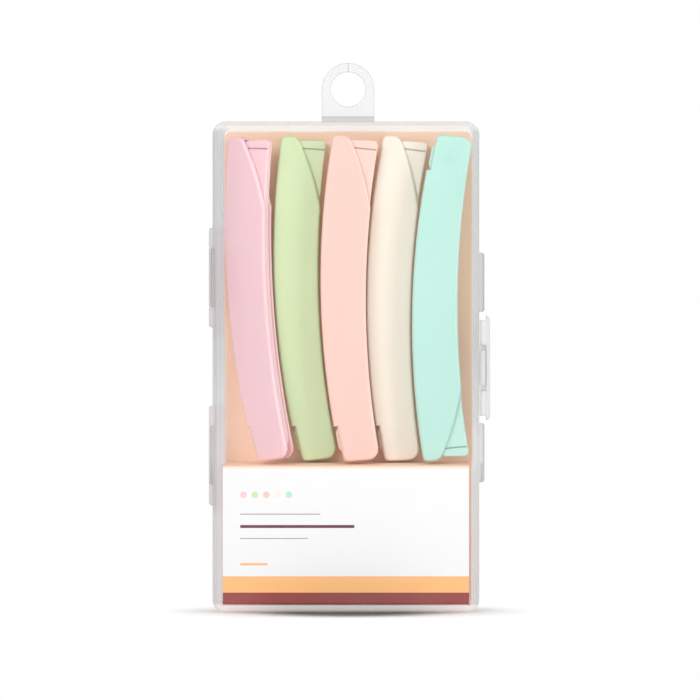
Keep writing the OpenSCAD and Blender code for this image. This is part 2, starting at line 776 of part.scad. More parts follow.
// The printed card: a backing, and a box folded forward below it for the razors to stand on
module card_insert() {
    card_w = inner_w - 2 * card_side_gap;
    card_top = case_h - wall - card_top_gap;
    depth = card_back_y - panel_y;
    fall_share = shelf_fall / depth;
    color("#fbcbad") translate([case_x - card_w / 2, 0, 0]) {
        translate([0, card_back_y, 0]) stand() linear_extrude(card_t) {
            translate([0, card_bottom]) square([card_w, panel_h]);
            translate([0, card_top - panel_h]) rounded_rect(card_w, panel_h, card_corner_r);
            translate([0, shelf_top - card_t]) square([card_w, card_top - shelf_top - card_corner_r]);
        }
        translate([0, panel_y, card_bottom]) rotate([90, 0, 90]) linear_extrude(card_w) difference() {
            polygon([[0, 0], [depth, 0], [depth, panel_h], [0, panel_h - shelf_fall]]);
            polygon([[card_t, card_t], [depth - card_t, card_t],
                     [depth - card_t, panel_h - card_t - card_t * fall_share],
                     [card_t, panel_h - shelf_fall - card_t + card_t * fall_share]]);
        }
    }
}

case_tray();
case_lid();
case_latch();
hang_tab();
card_insert();
for (i = [0 : len(razor_names) - 1]) {
    name = razor_names[i];
    place_razor(i) color(razor_colors[i]) razor_handle();
    place_razor(i) color(razor_colors[i]) razor_arm();
    place_razor(i) razor_blade();
    place_razor(i) razor_blade_guard();
    place_razor(i) razor_pivot_pin();
}
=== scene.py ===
# %% [markdown]
# A boxed set of folding eyebrow razors: five pastel razors stand on a folded card in a clear case.
# The solids come from the CAD model as a fixed frame. This script dresses them: it gives every solid
# a procedural material, replaces the card with one that is really folded, and adds the fine marks
# that moulding leaves on clear plastic.

# %% The frame
import math
import bmesh
import bpy
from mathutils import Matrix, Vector


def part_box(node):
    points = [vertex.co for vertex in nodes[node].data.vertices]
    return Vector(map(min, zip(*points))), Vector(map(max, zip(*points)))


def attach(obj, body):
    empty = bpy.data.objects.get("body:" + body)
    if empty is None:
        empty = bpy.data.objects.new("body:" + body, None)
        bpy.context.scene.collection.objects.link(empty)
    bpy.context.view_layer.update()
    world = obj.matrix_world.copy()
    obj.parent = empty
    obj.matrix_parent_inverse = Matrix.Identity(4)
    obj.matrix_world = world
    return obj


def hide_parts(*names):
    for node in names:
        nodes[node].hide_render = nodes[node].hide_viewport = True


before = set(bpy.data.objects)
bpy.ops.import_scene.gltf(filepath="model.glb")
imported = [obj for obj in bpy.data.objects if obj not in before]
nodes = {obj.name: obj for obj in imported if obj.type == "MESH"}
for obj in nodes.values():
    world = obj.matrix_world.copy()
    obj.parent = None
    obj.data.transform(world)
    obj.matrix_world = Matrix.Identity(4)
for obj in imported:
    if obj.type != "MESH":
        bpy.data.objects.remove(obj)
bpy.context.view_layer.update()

MM = 0.001

# %% [markdown]
# Five razors share one design, so most steps below run once for each name. Their colours are the
# moulded colours of the plastic: pale, with a little grey in them, as pigment in clear resin gives.

# %% Names and colours
RAZOR_COLOURS = {
    "pink": (0.98, 0.61, 0.66),
    "green": (0.65, 0.79, 0.46),
    "salmon": (0.97, 0.61, 0.53),
    "cream": (0.98, 0.86, 0.73),
    "mint": (0.50, 0.80, 0.705),
}
print("razors:", ", ".join(RAZOR_COLOURS))

# %% [markdown]
# The photograph was taken from well back, a little above the middle of the case: the front and the
# back look equally large, the floor is seen nearly edge on, and only a thin strip of the card's
# shelf shows. A long lens far away gives just that. The camera stays square to the case, and a
# small shift frames it.

# %% Camera
PIXELS = 700
MM_PER_PIXEL = 0.3012
VIEW_MM = PIXELS * MM_PER_PIXEL
CAMERA_DISTANCE_MM = 1400
SENSOR_MM = 36
AIM_X_MM, AIM_Z_MM = 10.0, 90.0
CENTRE_X_MM, CENTRE_Z_MM = 0.24, 78.72
NEAR_CLIP = 0.01

camera_data = bpy.data.cameras.new("camera")
camera_data.sensor_width = SENSOR_MM
camera_data.lens = SENSOR_MM * CAMERA_DISTANCE_MM / VIEW_MM
camera_data.shift_x = (CENTRE_X_MM - AIM_X_MM) / VIEW_MM
camera_data.shift_y = (CENTRE_Z_MM - AIM_Z_MM) / VIEW_MM
camera_data.clip_start = NEAR_CLIP
camera = bpy.data.objects.new("camera", camera_data)
camera.location = (AIM_X_MM * MM, -CAMERA_DISTANCE_MM * MM, AIM_Z_MM * MM)
camera.rotation_euler = (math.pi / 2, 0, 0)
bpy.context.scene.collection.objects.link(camera)
bpy.context.scene.camera = camera
print("lens:", round(camera_data.lens, 1), "mm")

# %% [markdown]
# A material is a small graph of nodes. In the editor it is drawn by hand, box by box. In a script
# each kind of box can have a short function, so that every material below reads as a recipe. The
# first few functions start a material, add nodes to it, and put it on the solids.

# %% Starting a material
def new_material(name):
    material = bpy.data.materials.new(name)
    material.use_nodes = True
    tree = material.node_tree
    tree.nodes.clear()
    output = tree.nodes.new("ShaderNodeOutputMaterial")
    return material, tree, output


def node(tree, kind, **settings):
    made = tree.nodes.new("ShaderNode" + kind)
    for key, value in settings.items():
        setattr(made, key, value)
    return made


def feed(tree, socket, value):
    """Links a socket to another one, or writes a number or a colour on it."""
    if isinstance(value, bpy.types.NodeSocket):
        tree.links.new(value, socket)
    elif isinstance(value, tuple) and socket.type == "RGBA":
        socket.default_value = (*value, 1)
    else:
        socket.default_value = value


def shader(tree, colour, roughness, **sockets):
    made = node(tree, "BsdfPrincipled")
    feed(tree, made.inputs["Base Color"], colour)
    feed(tree, made.inputs["Roughness"], roughness)
    for key, value in sockets.items():
        feed(tree, made.inputs[key.replace("_", " ")], value)
    return made


def finish_with(tree, output, made):
    tree.links.new(made.outputs[0], output.inputs["Surface"])


def paint(names, material):
    for name in names:
        slots = nodes[name].data.materials
        slots.clear()
        slots.append(material)
    print(material.name, "on", len(names))


print("material helpers ready")

# %% [markdown]
# Every pattern here is fixed to the object and not to the picture. It reads Object coordinates,
# which are metres in the shared frame, so it stays put when the camera or a joint moves. Where the
# coordinates are scaled unequally, the pattern is drawn out into lines, as grain and flow marks are.

# %% Reading the place
def object_place(tree):
    return node(tree, "TexCoord").outputs["Object"]


def coordinates(tree, scale=(1, 1, 1)):
    mapping = node(tree, "Mapping")
    mapping.inputs["Scale"].default_value = scale
    tree.links.new(object_place(tree), mapping.inputs["Vector"])
    return mapping.outputs["Vector"]


def split(tree, vector):
    made = node(tree, "SeparateXYZ")
    tree.links.new(vector, made.inputs["Vector"])
    return made.outputs["X"], made.outputs["Y"], made.outputs["Z"]


def noise(tree, vector, scale, detail, roughness=0.5):
    made = node(tree, "TexNoise")
    made.inputs["Scale"].default_value = scale
    made.inputs["Detail"].default_value = detail
    made.inputs["Roughness"].default_value = roughness
    tree.links.new(vector, made.inputs["Vector"])
    return made.outputs["Fac"]


print("place helpers ready")

# %% [markdown]
# A mask is a number from 0 to 1 that says where a finish applies. Masks come from sums and
# comparisons of the place, and a mask then mixes two colours. Short names for these sums keep the
# recipes readable. The Mix node has a set of sockets for each kind of data, told apart only by
# number, so the ones for colours get names here.

# %% Masks and mixes
MIX_FIRST, MIX_SECOND, MIX_RESULT = 6, 7, 2


def maths(tree, operation, *values, clamp=False):
    made = node(tree, "Math", operation=operation, use_clamp=clamp)
    for socket, value in zip(made.inputs, values):
        feed(tree, socket, value)
    return made.outputs["Value"]


def times(tree, product, *factors):
    for factor in factors:
        product = maths(tree, "MULTIPLY", product, factor)
    return product


def vector_maths(tree, operation, *values):
    made = node(tree, "VectorMath", operation=operation)
    for socket, value in zip(made.inputs, values):
        feed(tree, socket, value)
    return made.outputs["Value" if operation in ("LENGTH", "DOT_PRODUCT") else "Vector"]


def mix_colours(tree, factor, first, second):
    made = node(tree, "Mix", data_type="RGBA")
    feed(tree, made.inputs["Factor"], factor)
    feed(tree, made.inputs[MIX_FIRST], first)
    feed(tree, made.inputs[MIX_SECOND], second)
    return made.outputs[MIX_RESULT]


def ramp(tree, factor, stops):
    made = node(tree, "ValToRGB")
    while len(made.color_ramp.elements) < len(stops):
        made.color_ramp.elements.new(1.0)
    for element, (place, colour) in zip(made.color_ramp.elements, stops):
        element.position = place
        element.color = (*colour, 1)
    tree.links.new(factor, made.inputs["Fac"])
    return made.outputs["Color"]


def between(tree, value, low, high, slope="LINEAR"):
    """0 at low, 1 at high, and a slope between them."""
    made = node(tree, "MapRange", interpolation_type=slope)
    made.inputs["From Min"].default_value = low
    made.inputs["From Max"].default_value = high
    tree.links.new(value, made.inputs["Value"])
    return made.outputs["Result"]


def spread_over(tree, share, lowest, highest):
    """The lowest where the share is 0, the highest where it is 1."""
    made = node(tree, "MapRange")
    made.inputs["To Min"].default_value = lowest
    made.inputs["To Max"].default_value = highest
    tree.links.new(share, made.inputs["Value"])
    return made.outputs["Result"]


def in_step(tree, value, low, high):
    """1 between low and high, 0 elsewhere."""
    above = maths(tree, "GREATER_THAN", value, low)
    return times(tree, above, maths(tree, "LESS_THAN", value, high))


print("mask helpers ready")

# %% [markdown]
# No moulded edge is sharp. The Bevel node bends the normals round every edge of a solid by a small
# radius, so that edges catch the light as real ones do, and the angle between the bent normal and
# the true one tells where an edge is, for a painted highlight or a painted dark line there. Ambient
# occlusion on the same solid finds grooves and inner corners, where painted shade goes.

# %% Soft edges and hollows
EDGE_SAMPLES = 12
HOLLOW_SAMPLES = 8


def edge_normal(tree, radius_mm):
    made = node(tree, "Bevel", samples=EDGE_SAMPLES)
    made.inputs["Radius"].default_value = radius_mm * MM
    return made.outputs["Normal"]


def edge_share(tree, normal, gain):
    """0 on flat faces, up to 1 at the edges."""
    geometry = node(tree, "NewGeometry")
    same = vector_maths(tree, "DOT_PRODUCT", normal, geometry.outputs["True Normal"])
    return maths(tree, "MULTIPLY", maths(tree, "SUBTRACT", 1.0, same), gain, clamp=True)


def open_share(tree, reach_mm):
    """1 on open faces, towards 0 in grooves and inner corners of the same solid."""
    made = node(tree, "AmbientOcclusion", samples=HOLLOW_SAMPLES, only_local=True)
    made.inputs["Distance"].default_value = reach_mm * MM
    return made.outputs["AO"]


def bump(tree, height, strength, distance_mm, to, normal=None):
    made = node(tree, "Bump")
    made.inputs["Strength"].default_value = strength
    made.inputs["Distance"].default_value = distance_mm * MM
    tree.links.new(height, made.inputs["Height"])
    if normal is not None:
        tree.links.new(normal, made.inputs["Normal"])
    tree.links.new(made.outputs["Normal"], to.inputs["Normal"])


print("edge helpers ready")

# %% [markdown]
# The handles and arms are moulded in a soft pastel resin with a satin gloss. A very faint cloud in
# the colour and a fine bump keep the long plain sides from looking like flat paint, and a little
# light passes into the thin plastic, which subsurface scattering gives: it also makes the narrow
# gaps between the razors glow in their own colours. At the edges the colour is a shade paler, a
# painted highlight, and in the grooves it is a full shade deeper, painted shade. An arm is half as
# thick as a handle and sits in the handle's shade, so all of it is painted a little paler, as
# painted light.

# %% Pastel plastic
CLOUD_DEPTH = 0.965
EDGE_HIGHLIGHT_KEPT = 0.62
ARM_PAINTED_LIGHT_KEPT = 0.92
GROOVE_SHADE_CONTRAST = 2.2
GROOVE_SHADE_DEPTH = 0.45
GROOVE_TO_OPEN = (0.35, 0.85)
RESIN_REACH = (1.0, 0.6, 0.5)


def paler(colour, kept):
    """A colour nearer to white: it keeps only this share of its distance from white."""
    return tuple(1 - (1 - c) * kept for c in colour)


def pastel_plastic(name, colour):
    material, tree, output = new_material(name)
    place = coordinates(tree)
    deeper = tuple(c * CLOUD_DEPTH for c in colour)
    painted_groove_shade = tuple(c ** GROOVE_SHADE_CONTRAST * GROOVE_SHADE_DEPTH for c in colour)
    clouded = mix_colours(tree, noise(tree, place, scale=45, detail=2), colour, deeper)
    normal = edge_normal(tree, radius_mm=0.45)
    is_open = between(tree, open_share(tree, reach_mm=0.5), *GROOVE_TO_OPEN)
    # Painted highlight: the open edges are painted paler.
    on_highlit_edge = times(tree, edge_share(tree, normal, gain=2.2), is_open)
    highlighted = mix_colours(tree, on_highlit_edge, clouded, paler(colour, EDGE_HIGHLIGHT_KEPT))
    # Painted shade: grooves and inner corners get the deeper colour.
    tint = mix_colours(tree, is_open, painted_groove_shade, highlighted)
    body = shader(tree, tint, roughness=0.34, Subsurface_Weight=0.22, Subsurface_Scale=0.004,
                  Coat_Weight=0.15, Coat_Roughness=0.22)
    body.inputs["Subsurface Radius"].default_value = RESIN_REACH
    bump(tree, noise(tree, place, scale=900, detail=4), strength=0.05, distance_mm=0.2,
         to=body, normal=normal)
    finish_with(tree, output, body)
    return material


for name, colour in RAZOR_COLOURS.items():
    paint([name + "_handle"], pastel_plastic(name + "_plastic", colour))
    # The arms get a paler copy of their colour, painted light for the shade they sit in.
    paint([name + "_arm"], pastel_plastic(name + "_arm_lightened_plastic", paler(colour, ARM_PAINTED_LIGHT_KEPT)))

# %% [markdown]
# Blades are thin stainless strip. Rolling and grinding leave fine lines along the strip, so a noise
# that is stretched along the blade drives both the roughness and a little bump. The pins are turned
# from duller wire, with the same lines.

# %% Steel
BRUSHED = (2400, 2400, 60)
SMOOTHER, ROUGHER = 0.75, 1.35
BLADE_GREY = (0.62, 0.63, 0.65)
PIN_GREY = (0.55, 0.56, 0.58)


def strip_steel(name, colour, roughness):
    material, tree, output = new_material(name)
    lines = noise(tree, coordinates(tree, scale=BRUSHED), scale=1, detail=3)
    spread = spread_over(tree, lines, roughness * SMOOTHER, roughness * ROUGHER)
    body = shader(tree, colour, spread, Metallic=1.0)
    bump(tree, lines, strength=0.12, distance_mm=0.05, to=body)
    finish_with(tree, output, body)
    return material


paint([name + "_blade" for name in RAZOR_COLOURS],
      strip_steel("blade_steel", BLADE_GREY, roughness=0.24))
paint([name + "_pivot_pin" for name in RAZOR_COLOURS],
      strip_steel("pin_steel", PIN_GREY, roughness=0.3))

# %% [markdown]
# The comb guards are white nylon: matt, slightly warm, with no gloss at all. A fine bump is enough
# to break the light on them, as they are small and mostly hidden.

# %% White nylon
NYLON_WHITE = (0.86, 0.86, 0.83)
NYLON_CLOUD = (0.8, 0.8, 0.78)


def white_nylon():
    material, tree, output = new_material("guard_nylon")
    place = coordinates(tree)
    tint = mix_colours(tree, noise(tree, place, scale=300, detail=2), NYLON_WHITE, NYLON_CLOUD)
    body = shader(tree, tint, roughness=0.55)
    bump(tree, noise(tree, place, scale=2500, detail=3), strength=0.1, distance_mm=0.1,
         to=body, normal=edge_normal(tree, radius_mm=0.12))
    finish_with(tree, output, body)
    return material


paint([name + "_blade_guard" for name in RAZOR_COLOURS], white_nylon())

# %% [markdown]
# Clear polypropylene isn't glass: its broad flat windows are clear, but its walls, seen edge on,
# look like frosted grey ice. Real refraction would fill a thin-walled box with noise and dark
# shadow, so each surface here is partly see-through instead, and the share of pale plastic depends
# on where it is. First comes the window's outline, a rectangle with round upper corners a little
# larger than the card. The rounding below lies under the foot, so the lower corners are square.

# %% The window of the case
CARD_LOW, CARD_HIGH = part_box("card_insert")
WINDOW_CORNER = 2.4 * MM
WINDOW_LOW_Z = CARD_LOW.z
WINDOW_HIGH_Z = CARD_HIGH.z + 1.05 * MM
ROUND_LOW_Z = WINDOW_LOW_Z - WINDOW_CORNER
WINDOW_MID_X = (CARD_LOW.x + CARD_HIGH.x) / 2 + 0.15 * MM
WINDOW_MID = (WINDOW_MID_X, 0.0, (ROUND_LOW_Z + WINDOW_HIGH_Z) / 2)
WINDOW_HALF_W = (CARD_HIGH.x - CARD_LOW.x) / 2 + 0.35 * MM
WINDOW_HALF_H = (WINDOW_HIGH_Z - ROUND_LOW_Z) / 2
DEEP = 1.0
print("window:", round(WINDOW_HALF_W * 2 / MM, 1), "by", round(WINDOW_HALF_H * 2 / MM, 1), "mm")

# %% [markdown]
# The outline isn't quite a rectangle. Beside the razors its right side lies a little further out
# than beside the panel, where the backing fills the case up to the wall, and its left side slants
# inwards on the way down, where the wall's inner face is seen past the card. Both are a shift to the
# right, so one number for each height and side says it.

# %% The window's sides
ABOVE_PANEL_Z = (44.4 * MM, 45.2 * MM)
RIGHT_FURTHER = 0.6 * MM
LEFT_INWARD = 0.25 * MM
LEFT_MORE_INWARD = 0.95 * MM
LEFT_SLANT_Z = (112 * MM, 80 * MM)


def side_shift(tree, across, height):
    """How far the window's two sides lie to the right of their plain places, above the panel."""
    on_right = maths(tree, "GREATER_THAN", across, WINDOW_MID_X)
    on_left = maths(tree, "SUBTRACT", 1.0, on_right)
    slant = times(tree, between(tree, height, *LEFT_SLANT_Z), LEFT_MORE_INWARD)
    left = times(tree, on_left, maths(tree, "ADD", slant, LEFT_INWARD))
    right = times(tree, on_right, RIGHT_FURTHER)
    return times(tree, maths(tree, "ADD", left, right), between(tree, height, *ABOVE_PANEL_Z))


print("right side", round(RIGHT_FURTHER / MM, 2), "mm out, left side up to",
      round((LEFT_INWARD + LEFT_MORE_INWARD) / MM, 2), "mm in")

# %% [markdown]
# How far a point lies outside that outline is the measure that all of the clear plastic is painted
# by. It is the usual distance to a rounded box: take the distance from the middle, subtract the
# straight part of each half, and measure what is left from the centre of the corner's arc.

# %% How far outside the window
def beyond_window(tree):
    """Distance outside the window's outline in millimetres, negative inside it."""
    place = object_place(tree)
    across, _, height = split(tree, place)
    shift = vector_maths(tree, "MULTIPLY", side_shift(tree, across, height), (1.0, 0.0, 0.0))
    unshifted = vector_maths(tree, "SUBTRACT", place, WINDOW_MID)
    from_mid = vector_maths(tree, "SUBTRACT", unshifted, shift)
    straight = (WINDOW_HALF_W - WINDOW_CORNER, DEEP, WINDOW_HALF_H - WINDOW_CORNER)
    past = vector_maths(tree, "SUBTRACT", vector_maths(tree, "ABSOLUTE", from_mid), straight)
    outside = vector_maths(tree, "LENGTH", vector_maths(tree, "MAXIMUM", past, (0.0, 0.0, 0.0)))
    past_x, _, past_z = split(tree, past)
    inside = maths(tree, "MINIMUM", maths(tree, "MAXIMUM", past_x, past_z), 0.0)
    metres = maths(tree, "SUBTRACT", maths(tree, "ADD", outside, inside), WINDOW_CORNER)
    below = maths(tree, "SUBTRACT", WINDOW_LOW_Z, height)
    return times(tree, maths(tree, "MAXIMUM", metres, below), 1 / MM)


print("corner radius:", round(WINDOW_CORNER / MM, 1), "mm")

# %% [markdown]
# The rim isn't one grey. Going outwards it has a thin dark line at the card's edge, a painted shadow
# between card and wall, a paler strip where the gap beside the card is looked through, and the wall
# itself with a darker outer line, so a colour ramp over the distance paints it. Going up, it is
# thick at the foot and painted paler and warm there, painted light and a painted reflection of the
# card's maroon band, a shade darker beside the razors, and lighter at the top, a painted glow of the
# card's colour in its inner edge.
# Faint upright streaks are the flow marks that long mouldings have.

# %% The rim's greys
RIM_SPAN_MM = 4.0
RIM_GREYS = [
    # The first stop is a painted shadow line where the card's edge meets the wall.
    (0.00, (0.58, 0.50, 0.47)),
    (0.12, (0.69, 0.69, 0.69)),
    (0.31, (0.75, 0.75, 0.76)),
    (0.42, (0.67, 0.675, 0.675)),
    (0.60, (0.74, 0.755, 0.75)),
    (0.77, (0.60, 0.61, 0.60)),
    (0.88, (0.71, 0.72, 0.71)),
]
FLOW_STRETCH = (420, 420, 26)
FLOW_SPAN = (0.35, 0.65)
PINKISH_STREAK = (0.75, 0.68, 0.705)
BLUISH_STREAK = (0.72, 0.755, 0.76)
STREAK_SHARE = 0.35
BESIDE_RAZORS_Z = (48 * MM, 78 * MM)
BESIDE_RAZORS_TINT = (0.80, 0.82, 0.81)
# Painted glow: the top rim is painted lighter and warmer.
TOP_PAINTED_GLOW_GREY, TOP_GLOW_SHARE = (0.84, 0.82, 0.79), 0.75
# Painted light and a painted reflection of the maroon band: the foot is painted paler and warm.
FOOT_PAINTED_REFLECTION, FOOT_REFLECTION_SHARE = (1.0, 0.90, 0.87), 0.85


def height_shares(tree):
    """How far a point is into the top rim and into the foot of the case, each 0 to 1."""
    _, _, height = split(tree, object_place(tree))
    at_top = between(tree, height, WINDOW_HIGH_Z - 1.4 * MM, WINDOW_HIGH_Z - 0.2 * MM)
    at_foot = between(tree, height, WINDOW_LOW_Z + 0.6 * MM, WINDOW_LOW_Z - 0.2 * MM)
    return at_top, at_foot


def tinted(tree, colour, tint):
    return vector_maths(tree, "MULTIPLY", colour, tint)


def rim_colour(tree, beyond, at_top, at_foot):
    greys = ramp(tree, between(tree, beyond, 0.0, RIM_SPAN_MM), RIM_GREYS)
    flow = noise(tree, coordinates(tree, scale=FLOW_STRETCH), scale=1, detail=2)
    streaks = mix_colours(tree, between(tree, flow, *FLOW_SPAN), PINKISH_STREAK, BLUISH_STREAK)
    streaked = mix_colours(tree, STREAK_SHARE, greys, streaks)
    _, _, height = split(tree, object_place(tree))
    beside_razors = between(tree, height, *BESIDE_RAZORS_Z)
    walled = mix_colours(tree, beside_razors, streaked, tinted(tree, streaked, BESIDE_RAZORS_TINT))
    topped = mix_colours(tree, times(tree, at_top, TOP_GLOW_SHARE), walled, TOP_PAINTED_GLOW_GREY)
    return mix_colours(tree, times(tree, at_foot, FOOT_REFLECTION_SHARE), topped, FOOT_PAINTED_REFLECTION)


print("rim greys:", len(RIM_GREYS))

# %% [markdown]
# The wall also picks up what stands beside it. At the left it is pinkish where the hinges are, whose
# barrels it is seen before, and at the right the finger ledges are a darker grey. Both tints are
# masks over height and side. The hinge tint has soft ends and stays off the side walls, where it
# would show as hard blocks from an angle.

# %% Hinge side and finger ledges
HINGE_SPANS = [(29.5 * MM, 62.5 * MM), (83.0 * MM, 115.5 * MM)]
SOFT_STEP = 1.2 * MM
HINGE_TINT = (0.96, 0.885, 0.905)
FACES_FORWARD = 0.3
LEDGE_BEYOND_MM = 3.2
LEDGE_TINT = (0.76, 0.78, 0.76)


def soft_step(tree, value, low, high):
    """1 between low and high, with a soft slope at both ends."""
    rising = between(tree, value, low - SOFT_STEP, low + SOFT_STEP)
    return times(tree, rising, between(tree, value, high + SOFT_STEP, high - SOFT_STEP))


def with_sides(tree, colour, beyond):
    across, _, height = split(tree, object_place(tree))
    on_left = maths(tree, "LESS_THAN", across, WINDOW_MID_X)
    on_right = maths(tree, "GREATER_THAN", across, WINDOW_MID_X)
    at_hinges = maths(tree, "MAXIMUM", *[soft_step(tree, height, *span) for span in HINGE_SPANS])
    _, facing, _ = split(tree, node(tree, "NewGeometry").outputs["True Normal"])
    on_face = maths(tree, "GREATER_THAN", maths(tree, "ABSOLUTE", facing), FACES_FORWARD)
    by_hinge = times(tree, at_hinges, on_face, on_left)
    left_done = mix_colours(tree, by_hinge, colour, tinted(tree, colour, HINGE_TINT))
    on_ledge = times(tree, on_right, maths(tree, "GREATER_THAN", beyond, LEDGE_BEYOND_MM))
    return mix_colours(tree, on_ledge, left_done, tinted(tree, colour, LEDGE_TINT))


print("hinge spans:", len(HINGE_SPANS))

# %% [markdown]
# Frosted plastic can't be looked through, but it lets light through and spreads it. A surface that
# is partly see-through would only dim that light, and everything in the case would turn dark. Light
# Path tells rays that only carry light from rays that are seen, so these meet a much thinner rim.

# %% Light through frosted walls
LIGHT_SHARE = 0.18


def thinner_for_light(tree, alpha):
    path = node(tree, "LightPath")
    carries = maths(tree, "MAXIMUM", path.outputs["Is Shadow Ray"], path.outputs["Is Diffuse Ray"])
    return times(tree, alpha, spread_over(tree, carries, 1.0, LIGHT_SHARE))


print("share of the rim that light meets:", LIGHT_SHARE)

# %% [markdown]
# Now the case itself. The lid and the tray share one recipe: nearly nothing in the window, the rim's
# greys outside it, a darker line at every edge, painted shade where clear plastic turns light away,
# and a faint haze that varies over a few centimetres. Just under the top edge the window carries a
# painted glow in the card's colour. The foot and that painted glow have a little more substance than
# the rest.

# %% Clear plastic
RIM_FROM_TO_MM = (-0.1, 0.25)
PAINTED_GLOW_FROM_TO_MM = (-1.0, -0.1)
WINDOW_TINT = (0.93, 0.94, 0.94)
TOP_PAINTED_GLOW = (1.0, 0.86, 0.74)
EDGE_SHADE_GREY, EDGE_SHARE = (0.42, 0.43, 0.43), 0.35
HAZE = 0.04
PAINTED_GLOW_EXTRA = 0.3
FOOT_EXTRA = 0.3


def clear_plastic(name, window_share, rim_share):
    material, tree, output = new_material(name)
    place = coordinates(tree)
    normal = edge_normal(tree, radius_mm=0.5)
    beyond = beyond_window(tree)
    in_rim = between(tree, beyond, *RIM_FROM_TO_MM)
    at_top, at_foot = height_shares(tree)
    # Painted glow in the card's colour just inside the window's top edge.
    painted_glow = times(tree, at_top, between(tree, beyond, *PAINTED_GLOW_FROM_TO_MM))
    inside = mix_colours(tree, painted_glow, WINDOW_TINT, TOP_PAINTED_GLOW)
    rim = with_sides(tree, rim_colour(tree, beyond, at_top, at_foot), beyond)
    colour = mix_colours(tree, in_rim, inside, rim)
    # Painted shade: a darker line at every edge, where clear plastic turns light away.
    at_edge = edge_share(tree, normal, gain=2.5)
    edge_shaded = mix_colours(tree, times(tree, at_edge, EDGE_SHARE), colour, EDGE_SHADE_GREY)
    share = spread_over(tree, in_rim, window_share, rim_share)
    cloud = maths(tree, "SUBTRACT", noise(tree, place, scale=60, detail=3), 0.5)
    glowing = times(tree, maths(tree, "SUBTRACT", 1.0, in_rim), times(tree, painted_glow, PAINTED_GLOW_EXTRA))
    extra = maths(tree, "ADD", glowing, times(tree, at_foot, in_rim, FOOT_EXTRA))
    hazy = maths(tree, "ADD", share, times(tree, cloud, HAZE))
    alpha = maths(tree, "ADD", hazy, extra, clamp=True)
    body = shader(tree, edge_shaded, roughness=0.2, Alpha=thinner_for_light(tree, alpha),
                  Specular_IOR_Level=0.5)
    bump(tree, noise(tree, place, scale=700, detail=2), strength=0.03, distance_mm=0.2,
         to=body, normal=normal)
    finish_with(tree, output, body)
    return material


paint(["case_lid"], clear_plastic("lid_plastic", window_share=0.015, rim_share=0.42))
paint(["case_tray"], clear_plastic("tray_plastic", window_share=0.02, rim_share=0.5))

# %% [markdown]
# The hang tab and the latch stand outside the walls, so they are seen through once and look lighter.
# Their edges are what draws them: clear plastic turns light away there, so the edge is a grey line.
# Above the hang hole two streams of molten plastic met, which leaves a fine upright knit line, and
# the tab's foot is a thicker band that looks darker.

# %% Marks on the hang tab
TAB_LOW, TAB_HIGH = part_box("hang_tab")
TAB_MID_X = (TAB_LOW.x + TAB_HIGH.x) / 2
KNIT_HALF_W = 0.22 * MM
KNIT_LOW_Z = TAB_HIGH.z - 3.5 * MM
ROOT_TOP_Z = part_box("case_tray")[1].z + 1.6 * MM
ROOT_BLUR = 0.25 * MM
ROOT_SHARE = 0.6
ROOT_LINE_HALF = 0.3 * MM


def tab_marks(tree):
    across, _, height = split(tree, object_place(tree))
    from_line = maths(tree, "ABSOLUTE", maths(tree, "SUBTRACT", across, TAB_MID_X))
    on_line = between(tree, from_line, KNIT_HALF_W, 0.0)
    knit = times(tree, on_line, maths(tree, "GREATER_THAN", height, KNIT_LOW_Z))
    root = between(tree, height, ROOT_TOP_Z + ROOT_BLUR, ROOT_TOP_Z)
    from_top = maths(tree, "ABSOLUTE", maths(tree, "SUBTRACT", height, ROOT_TOP_Z))
    line = between(tree, from_top, ROOT_LINE_HALF, 0.0)
    return maths(tree, "MAXIMUM", knit, maths(tree, "MAXIMUM", times(tree, root, ROOT_SHARE), line))


print("knit line:", round((TAB_HIGH.z - KNIT_LOW_Z) / MM, 1), "mm long")

# %% [markdown]
# Tab and latch share a plainer recipe than the case: one pale grey, one grey for edges and marks,
# and more substance where these are. The latch is milkier, as it is moulded thicker.

# %% Clear tab and latch
TAB_GREY, TAB_EDGE = (0.75, 0.76, 0.76), (0.43, 0.43, 0.42)
LATCH_GREY, LATCH_EDGE = (0.71, 0.73, 0.72), (0.50, 0.52, 0.51)
EDGE_EXTRA = 0.35


def outer_plastic(name, share, colour, edge_colour, marks=None):
    material, tree, output = new_material(name)
    place = coordinates(tree)
    normal = edge_normal(tree, radius_mm=0.45)
    at_edge = edge_share(tree, normal, gain=3.0)
    if marks:
        at_edge = maths(tree, "MAXIMUM", at_edge, marks(tree))
    tint = mix_colours(tree, at_edge, colour, edge_colour)
    alpha = maths(tree, "ADD", share, times(tree, at_edge, EDGE_EXTRA), clamp=True)
    body = shader(tree, tint, roughness=0.18, Alpha=thinner_for_light(tree, alpha),
                  Specular_IOR_Level=0.5)
    bump(tree, noise(tree, place, scale=500, detail=2), strength=0.04, distance_mm=0.2,
         to=body, normal=normal)
    finish_with(tree, output, body)
    return material


paint(["hang_tab"], outer_plastic("tab_plastic", 0.42, TAB_GREY, TAB_EDGE, tab_marks))
paint(["case_latch"], outer_plastic("latch_plastic", 0.8, LATCH_GREY, LATCH_EDGE))

# %% [markdown]
# The card is one sheet of coated board, so it is built as one: a line of points along its fold, with
# the folds rounded by a vertex bevel, is pulled sideways into a sheet, and the Solidify modifier
# gives the sheet its thickness. It runs down behind the razors, forward along the floor of the case,
# up as the front panel, back as the shelf that carries the razors, and ends in a glued tab. The
# backing is a little wider than the panel and fills the case up to its right wall.

# %% Folded card
CARD_T = 0.4 * MM
SHELF_BACK_Z = 44.9 * MM
SHELF_FRONT_Z = 44.0 * MM
FOLD_R = 0.55 * MM
GLUED_TAB = 9.0 * MM
CARD_CORNER_R = 2.5 * MM
CARD_TOP_Z = CARD_HIGH.z + 0.4 * MM
BACK_EXTRA_W = 1.15 * MM


